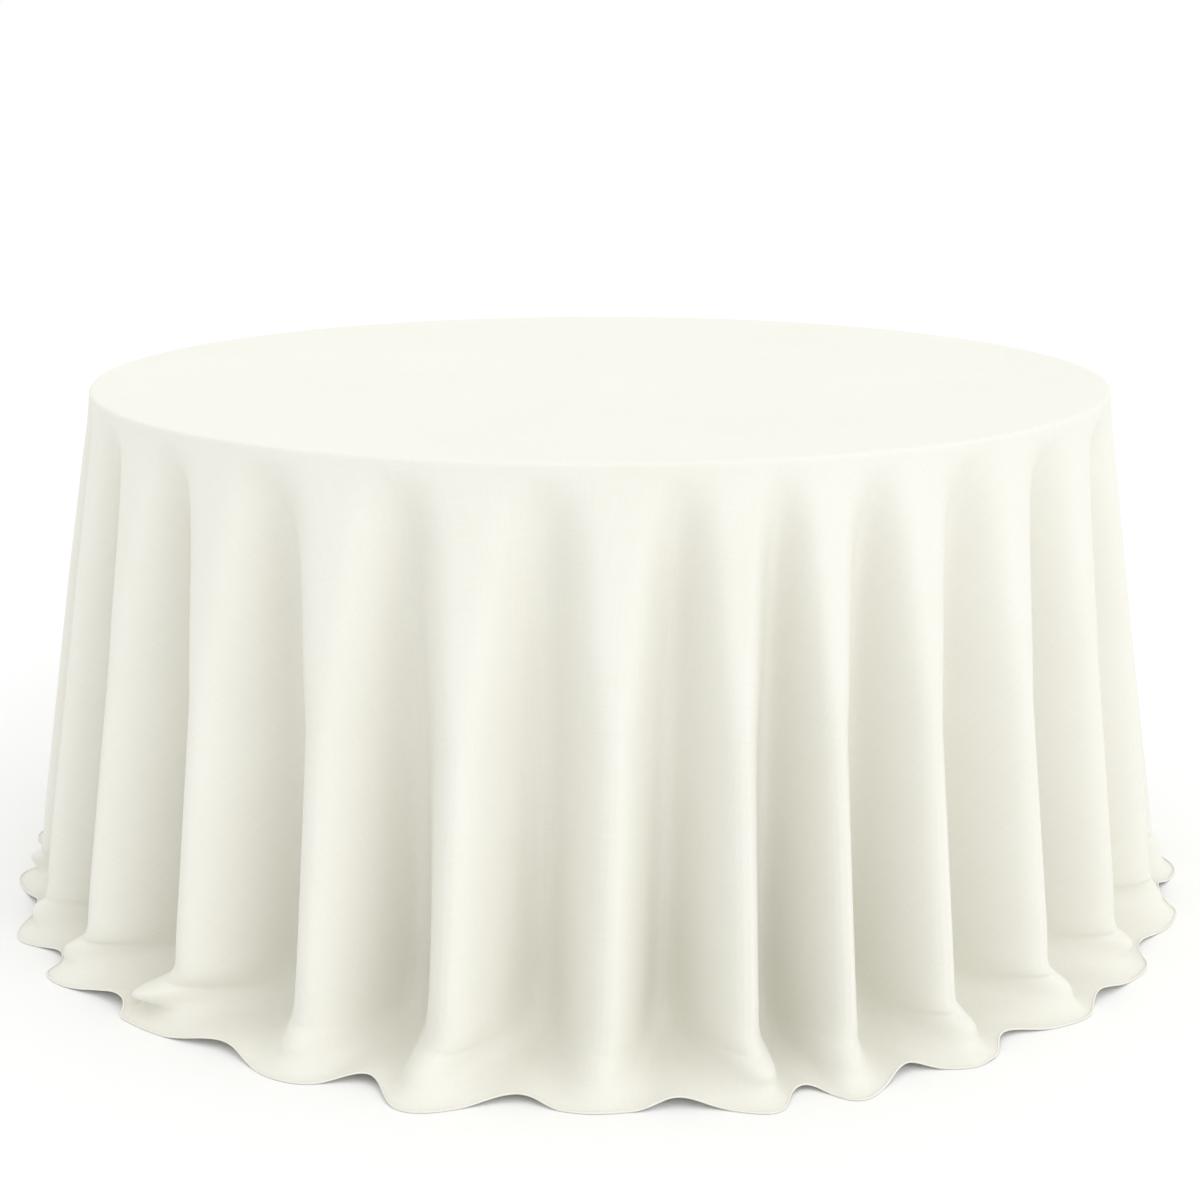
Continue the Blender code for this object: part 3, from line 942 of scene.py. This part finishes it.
    def settle(self, net: Points) -> Points:
        """Lets the cloth fall until it rests.

        Args:
            net: the cloth as it is hung.

        Returns:
            The cloth at rest, in the same rows and columns.
        """
        thread = self.threads(net)
        hung = net.copy()
        rise = np.clip((net[..., 2:] - self.guide_rise[0]) / self.guide_rise[1], 0, 1)
        lead = self.guide * (self.guide_on_floor + (1 - self.guide_on_floor) * rise)
        level = net[..., 2:].mean(1, keepdims=True)
        memory = np.clip((level - self.memory_rise[0]) / self.memory_rise[1], 0, 1)
        set_across = memory * (np.roll(net, 1, 1) + np.roll(net, -1, 1) - 2 * net)
        set_down = memory[1:-1] * (net[:-2] + net[2:] - 2 * net[1:-1])
        held = self.held
        pinned, anchor = net[:held].copy(), net[held - 1].copy()
        reach = (self.along - self.along[held - 1])[held:, None]
        speed = np.zeros_like(net)
        fall = np.array([0, 0, -self.gravity]) * self.step**2
        for n in range(self.steps):
            before = net.copy()
            net = net + self.free * (speed * self.step + fall)
            self.spring_back(net, set_across, set_down)
            self.pull_down_and_slantwise(net, thread)
            self.pull_across(net, thread["across"])
            span = net[held:] - anchor
            long = np.sqrt(np.einsum("...k,...k", span, span)) + TINY
            net[held:] = anchor + span * np.clip(reach / long, None, 1)[..., None]
            net += lead * (hung - net)
            self.keep_clear(net)
            self.rest_on_floor(net, before)
            net[:held] = pinned
            speed = (net - before) / self.step * self.calm[n >= self.steps * self.calm_from]
        return net

    def spring_back(self, net: Points, set_across: Points, set_down: Points) -> None:
        """Bends the cloth back towards the curves that it was hung with.

        Args:
            net: the cloth, which is changed.
            set_across: the curve across the folds that it keeps.
            set_down: the curve on the way down that it keeps.
        """
        curl = np.roll(net, 1, 1) + np.roll(net, -1, 1) - 2 * net - set_across
        net -= self.free * self.bend * (np.roll(curl, 1, 1) + np.roll(curl, -1, 1) - 2 * curl)
        curl = np.zeros_like(net)
        curl[1:-1] = net[:-2] + net[2:] - 2 * net[1:-1] - set_down
        push = -2 * curl
        push[:-1] += curl[1:]
        push[1:] += curl[:-1]
        net -= self.free * self.bend * push

    def pull_down_and_slantwise(self, net: Points, thread: dict[str, np.ndarray]) -> None:
        """Brings the threads between the rows to their lengths.

        Args:
            net: the cloth, which is changed.
            thread: lengths of the threads.
        """
        slant = (self.shear / 2, self.shear)
        for odd in (0, 1):
            upper, lower = net[odd:-1:2], net[odd + 1 :: 2]
            free = (self.free[odd:-1:2], self.free[odd + 1 :: 2])
            near, far = self.pull((upper, lower), thread["down"][odd::2], free, (self.squash, 1.0))
            upper += near
            lower -= far
            for way, name in ((-1, "right"), (1, "left")):
                near, far = self.pull((upper, np.roll(lower, way, 1)), thread[name][odd::2], free, slant)
                upper += near
                lower -= np.roll(far, -way, 1)

    def pull_across(self, net: Points, length: np.ndarray) -> None:
        """Brings the threads between the columns to their lengths.

        Args:
            net: the cloth, which is changed.
            length: lengths of the threads across.
        """
        even, rest = net[:, 0::2], net[:, 1::2]
        free, stiff = (self.free, self.free), (self.squash, 1.0)
        near, far = self.pull((even, rest), length[:, 0::2], free, stiff)
        even += near
        rest -= far
        near, far = self.pull((rest, np.roll(even, -1, 1)), length[:, 1::2], free, stiff)
        rest += near
        even -= np.roll(far, 1, 1)

    @staticmethod
    def pull(
        ends: tuple[Points, Points],
        length: np.ndarray,
        free: tuple[Points, Points],
        stiff: tuple[float, float],
    ) -> tuple[Points, Points]:
        """How far both ends of some threads move to bring them to their length.

        Args:
            ends: the near and the far ends.
            length: lengths of the threads.
            free: 0 for an end that is held, and 1 for one that isn't.
            stiff: share of the change that is made where a thread is too short, and where it is too long.

        Returns:
            The moves of the near ends towards the far ones, and of the far ends towards the near ones.
        """
        span = ends[1] - ends[0]
        long = np.sqrt(np.einsum("...k,...k", span, span)) + TINY
        over = long - length
        loose = free[0][..., 0] + free[1][..., 0] + 1e-9
        give = np.where(over > 0, stiff[1], stiff[0]) * over / (long * loose)
        span *= give[..., None]
        return span * free[0], span * free[1]

    def keep_clear(self, net: Points) -> None:
        """Moves the cloth out of the board's edge, and out of the room that the legs need.

        Args:
            net: the cloth, which is changed.
        """
        radius = np.hypot(net[..., 0], net[..., 1])
        beside_board = net[..., 2] > self.top - self.board
        least = np.where(beside_board, self.rim, self.clear_of_legs)
        grow = np.where((radius < least) & (self.free[..., 0] > 0), least / radius, 1)
        net[..., :2] *= grow[..., None]

    def rest_on_floor(self, net: Points, before: Points) -> None:
        """Stops the cloth at the floor, and holds back what slides on it.

        Args:
            net: the cloth, which is changed.
            before: where it was at the start of the step.
        """
        under = np.maximum(self.floor - net[..., 2], 0)
        net[..., 2] = np.maximum(net[..., 2], self.floor)
        slide = net[..., :2] - before[..., :2]
        far = np.sqrt((slide**2).sum(-1)) + TINY
        net[..., :2] -= slide * np.clip(self.friction * under / far, 0, 1)[..., None]


def halved(points: Points, closed: bool) -> Points:
    """Doubles the points along the first axis on the smooth curve through their middles.

    Args:
        points: the points, in order along the first axis.
        closed: whether the last one meets the first.

    Returns:
        The finer points, with both ends kept where the curve is open.
    """
    if closed:
        before, after = np.roll(points, 1, 0), np.roll(points, -1, 0)
        finer = np.empty((2 * len(points), *points.shape[1:]))
        finer[0::2] = (before + 6 * points + after) / 8
        finer[1::2] = (points + after) / 2
        return finer
    finer = np.empty((2 * len(points) - 1, *points.shape[1:]))
    finer[0::2] = points
    finer[2:-2:2] = (points[:-2] + 6 * points[1:-1] + points[2:]) / 8
    finer[1::2] = (points[:-1] + points[1:]) / 2
    return finer


@dataclass
class Tablecloth:
    """The round cloth, with its narrow rolled hem and the row of stitches that holds it."""

    cut_radius: float = 1.6764
    thickness: float = 0.0008
    board: float = 0.019
    floor_gap: float = 0.0006
    inner_rings: tuple[float, ...] = (0.03, 0.10, 0.20, 0.32, 0.44, 0.55, 0.64, 0.70)
    hem_radius: float = 0.0014
    hem_sides: int = 8
    stitch_inset: float = 0.0048
    stitch_pitch: float = 0.0036
    stitch_length: float = 0.0026
    stitch_half_width: float = 0.00032
    stitch_height: float = 0.00030
    stitch_bow: tuple[tuple[float, float, float], ...] = (
        (0.0, 0.45, -0.4),
        (0.25, 1.0, 0.7),
        (0.75, 1.0, 0.7),
        (1.0, 0.45, -0.4),
    )
    plan: FoldPlan = field(default_factory=FoldPlan)

    def __post_init__(self) -> None:
        """Takes the size of what it covers from the frame."""
        low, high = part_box("tablecloth")
        self.top = high.z
        self.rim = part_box("edge_trim")[1].x + (self.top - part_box("edge_trim")[1].z)
        self.floor = self.thickness + self.floor_gap

    def build(self) -> list[bpy.types.Object]:
        """Returns:
            The cloth, its hem and its stitches.
        """
        drape = Drape(self.plan, self.cut_radius, self.rim, self.top, self.board, self.floor)
        net = drape.start()
        net = drape.settle(net)
        fine = halved(net, closed=False)
        fine = halved(fine.swapaxes(0, 1), closed=True).swapaxes(0, 1)
        along = halved(drape.along, closed=False)
        angle = drape.plan.directions()
        middles = (angle + np.append(angle[1:], angle[0] + math.tau)) / 2
        angle = np.stack([angle, middles], -1).ravel()
        sheet = self.build_sheet(fine, along, angle)
        hem = self.build_hem(fine)
        stitches = self.build_stitches(fine, along)
        for piece in (sheet, hem, stitches):
            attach(piece, "cloth")
        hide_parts("tablecloth")
        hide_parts("rolled_hem")
        return [sheet, hem, stitches]

    def build_sheet(self, fine: Points, along: np.ndarray, angle: np.ndarray) -> bpy.types.Object:
        """The cloth itself.

        Args:
            fine: rows and columns of points from inside the rim to the hem.
            along: distance of each row from the middle of the flat cut.
            angle: direction of each column in the flat cut.

        Returns:
            The cloth, with the weave's map and its thickness.
        """
        rings = np.array(self.inner_rings)
        columns = len(angle)
        flat_x, flat_y = np.sin(angle), -np.cos(angle)
        inner = np.stack(
            [rings[:, None] * flat_x, rings[:, None] * flat_y, np.full((len(rings), columns), self.top)], -1
        )
        rows = np.concatenate([inner, fine])
        reach = np.concatenate([rings, along])
        points = np.concatenate([rows.reshape(-1, 3), [[0, 0, self.top]]])
        cut = np.stack([reach[:, None] * flat_x, reach[:, None] * flat_y], -1).reshape(-1, 2)
        cut = np.concatenate([cut, [[0, 0]]])
        hub = len(points) - 1
        fan = [(hub, i, (i + 1) % columns) for i in range(columns)]
        sheet = mesh_of("draped_tablecloth", points, [*grid_faces(len(rows), columns), *fan])
        layer = sheet.data.uv_layers.new(name=Slot.CLOTH.value.weave_map)
        corners = np.empty(len(sheet.data.loops), int)
        sheet.data.loops.foreach_get("vertex_index", corners)
        layer.uv.foreach_set("vector", cut[corners].astype(np.float32).ravel())
        shell = sheet.modifiers.new("thickness", "SOLIDIFY")
        shell.thickness = self.thickness
        shell.offset = -1
        Slot.CLOTH.dress(sheet)
        return sheet

    def build_hem(self, fine: Points) -> bpy.types.Object:
        """The roll that the edge is turned into, as a soft tube round the last row.

        Args:
            fine: rows and columns of points from inside the rim to the hem.

        Returns:
            The roll, with the weave's map.
        """
        middle = fine[-1].copy()
        middle[:, 2] = np.maximum(middle[:, 2] - self.thickness / 2, self.hem_radius + self.floor_gap / 2)
        ahead = np.roll(middle, -1, 0) - np.roll(middle, 1, 0)
        ahead /= np.linalg.norm(ahead, axis=1, keepdims=True)
        inward = fine[-2] - fine[-1]
        side = np.cross(ahead, inward)
        side /= np.linalg.norm(side, axis=1, keepdims=True)
        across = np.cross(side, ahead)
        turn = np.arange(self.hem_sides) / self.hem_sides * math.tau
        ring = np.cos(turn)[:, None, None] * across + np.sin(turn)[:, None, None] * side
        points = (middle + self.hem_radius * ring).reshape(-1, 3)
        count = len(middle)
        faces = grid_faces(self.hem_sides, count)
        last = (self.hem_sides - 1) * count
        closing = [(last + i, i, (i + 1) % count, last + (i + 1) % count) for i in range(count)]
        hem = mesh_of("rolled_edge", points, [*faces, *closing])
        length = np.append(0, np.cumsum(np.linalg.norm(np.diff(middle, axis=0), axis=1)))
        layer = hem.data.uv_layers.new(name=Slot.CLOTH.value.weave_map)
        corners = np.empty(len(hem.data.loops), int)
        hem.data.loops.foreach_get("vertex_index", corners)
        around = (corners // count) * self.hem_radius * math.tau / self.hem_sides
        laid = np.stack([length[corners % count], around], -1)
        layer.uv.foreach_set("vector", laid.astype(np.float32).ravel())
        Slot.CLOTH.dress(hem)
        return hem

    def build_stitches(self, fine: Points, along: np.ndarray) -> bpy.types.Object:
        """The row of lockstitches just inside the hem, each a short bowed lozenge of thread.

        Args:
            fine: rows and columns of points from inside the rim to the hem.
            along: distance of each row from the middle of the flat cut.

        Returns:
            All the stitches, as one piece.
        """
        share = self.stitch_inset / (along[-1] - along[-2])
        line = fine[-1] + share * (fine[-2] - fine[-1])
        ahead = np.roll(line, -1, 0) - np.roll(line, 1, 0)
        normal = np.cross(fine[-2] - fine[-1], ahead)
        normal *= np.where(normal[:, 2:] < 0, -1, 1)
        normal /= np.linalg.norm(normal, axis=1, keepdims=True)
        length = np.append(0, np.cumsum(np.linalg.norm(np.roll(line, -1, 0) - line, axis=1)))
        count = int(length[-1] / self.stitch_pitch)
        starts = np.arange(count) * length[-1] / count
        closed_line, closed_normal = np.vstack([line, line[:1]]), np.vstack([normal, normal[:1]])

        def at(places: np.ndarray, values: Points) -> Points:
            """Reads a closed run of values at some distances along it."""
            return np.stack([np.interp(places, length, values[:, k]) for k in range(3)], -1)

        rings = []
        for share, girth, lift in self.stitch_bow:
            places = (starts + share * self.stitch_length) % length[-1]
            spot, up = at(places, closed_line), at(places, closed_normal)
            front = at((places + self.stitch_length / 5) % length[-1], closed_line) - spot
            front /= np.linalg.norm(front, axis=1, keepdims=True)
            aside = np.cross(up, front)
            middle = spot + up * self.stitch_height * lift
            for turn in np.arange(4) / 4 * math.tau:
                offset = aside * math.cos(turn) * self.stitch_half_width
                offset = offset + up * math.sin(turn) * self.stitch_height
                rings.append(middle + girth * offset)
        points = np.stack(rings, 1).reshape(-1, 3)
        faces = []
        for ring in range(3):
            for i in range(4):
                j = (i + 1) % 4
                faces.append((4 * ring + i, 4 * ring + j, 4 * ring + 4 + j, 4 * ring + 4 + i))
        faces += [(3, 2, 1, 0), (12, 13, 14, 15)]
        everything = [[16 * n + corner for corner in face] for n in range(count) for face in faces]
        stitches = mesh_of("hem_stitches", points, everything)
        stitches.data.materials.append(SewingThread().make())
        return stitches


# ---------------------------------------------------------------- the table


@dataclass
class Table:
    """The folding table, whose CAD pieces keep their shapes and get their real finishes."""

    slots: dict[str, Slot] = field(default_factory=lambda: {slot.value.name: slot for slot in Slot})

    def dress(self, names: Iterable[str]) -> None:
        """Puts the finish of its slot on each named CAD piece."""
        for name in names:
            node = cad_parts[name]
            given = node.data.materials[0].name.split(".")[0]
            self.slots[given].dress(node)
            log.info("dressed %s in %s", name, given)


# ---------------------------------------------------------------- the studio


@dataclass
class Studio:
    """A pale floor, soft light and the camera in front of the table."""

    camera_back: float = 3.1642
    camera_height: float = 1.2085
    camera_pitch: float = 0.2491
    lens: float = 62.05
    floor_half: float = 30.0
    floor_lines: int = 25
    surroundings: float = 0.94
    overhead: float = 0.17
    overhead_softness: float = 1.6
    key: float = 0.20
    key_towards: tuple[float, float, float] = (0.60, -0.68, 0.42)
    key_softness: float = 0.8
    sensor: float = 36.0

    def build(self) -> None:
        """Makes the floor, the surroundings, the lights and the camera."""
        self.build_floor()
        self.build_surroundings()
        self.build_sun("overhead", (0.0, 0.0, 1.0), self.overhead, self.overhead_softness)
        self.build_sun("key", self.key_towards, self.key, self.key_softness)
        self.build_camera()

    def build_floor(self) -> None:
        """A wide, flat floor."""
        count = self.floor_lines
        steps = np.linspace(-self.floor_half, self.floor_half, count)
        x, y = np.meshgrid(steps, steps)
        points = np.stack([x, y, np.zeros_like(x)], -1).reshape(-1, 3)
        firsts = [count * i + j for i in range(count - 1) for j in range(count - 1)]
        faces = [(first, first + 1, first + count + 1, first + count) for first in firsts]
        floor = mesh_of("studio_floor", points, faces)
        floor.data.materials.append(StudioFloor().make())
        floor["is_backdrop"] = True

    def build_surroundings(self) -> None:
        """White light from all round, as from a tent, in front of a white backdrop."""
        world = bpy.data.worlds.new("studio")
        world.use_nodes = True
        tree = world.node_tree
        sky = tree.nodes["Background"]
        sky.inputs["Color"].default_value = (1, 1, 1, 1)
        rays = tree.nodes.new("ShaderNodeLightPath")
        amount = tree.nodes.new("ShaderNodeMapRange")
        amount.inputs["To Min"].default_value = self.surroundings
        amount.inputs["To Max"].default_value = 1.0
        tree.links.new(rays.outputs["Is Camera Ray"], amount.inputs["Value"])
        tree.links.new(amount.outputs["Result"], sky.inputs["Strength"])
        bpy.context.scene.world = world

    def build_sun(self, name: str, towards: Sequence[float], power: float, softness: float) -> None:
        """A wide, even light from one direction.

        Args:
            name: name of the lamp.
            towards: direction from the table to the lamp.
            power: brightness of a white face that looks at it.
            softness: how wide the lamp looks from the table, in radians.
        """
        light = bpy.data.lights.new(name, "SUN")
        light.energy = power * math.pi
        light.angle = softness
        lamp = bpy.data.objects.new(name, light)
        lamp.rotation_euler = Vector(towards).to_track_quat("Z", "Y").to_euler()
        bpy.context.scene.collection.objects.link(lamp)

    def build_camera(self) -> None:
        """The camera, a little above the table and looking down at it."""
        camera = bpy.data.cameras.new("front")
        camera.lens = self.lens
        camera.sensor_width = self.sensor
        camera.clip_end = 100
        seen = bpy.data.objects.new("front", camera)
        seen.location = (0, -self.camera_back, self.camera_height)
        seen.rotation_euler = (math.pi / 2 - self.camera_pitch, 0, 0)
        bpy.context.scene.collection.objects.link(seen)
        bpy.context.scene.camera = seen
        bpy.context.scene.view_settings.view_transform = "Standard"


def corners(box: tuple[Vector, Vector]) -> list[list[float]]:
    """A box as plain lists of numbers."""
    return [[float(value) for value in corner] for corner in box]


def main() -> None:
    """Builds the studio, the table and the cloth, in that order."""
    logging.basicConfig(level=logging.INFO, format="%(name)s: %(message)s")
    cad_box = corners(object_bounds())
    Studio().build()
    cloth_nodes = ("tablecloth", "rolled_hem")
    Table().dress(name for name in sorted(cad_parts) if name not in cloth_nodes)
    for piece in Tablecloth().build():
        log.info("made %s with %d faces", piece.name, len(piece.data.polygons))
    {"cad": cad_box, "visual": corners(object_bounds())}


if __name__ == "__main__":
    main()
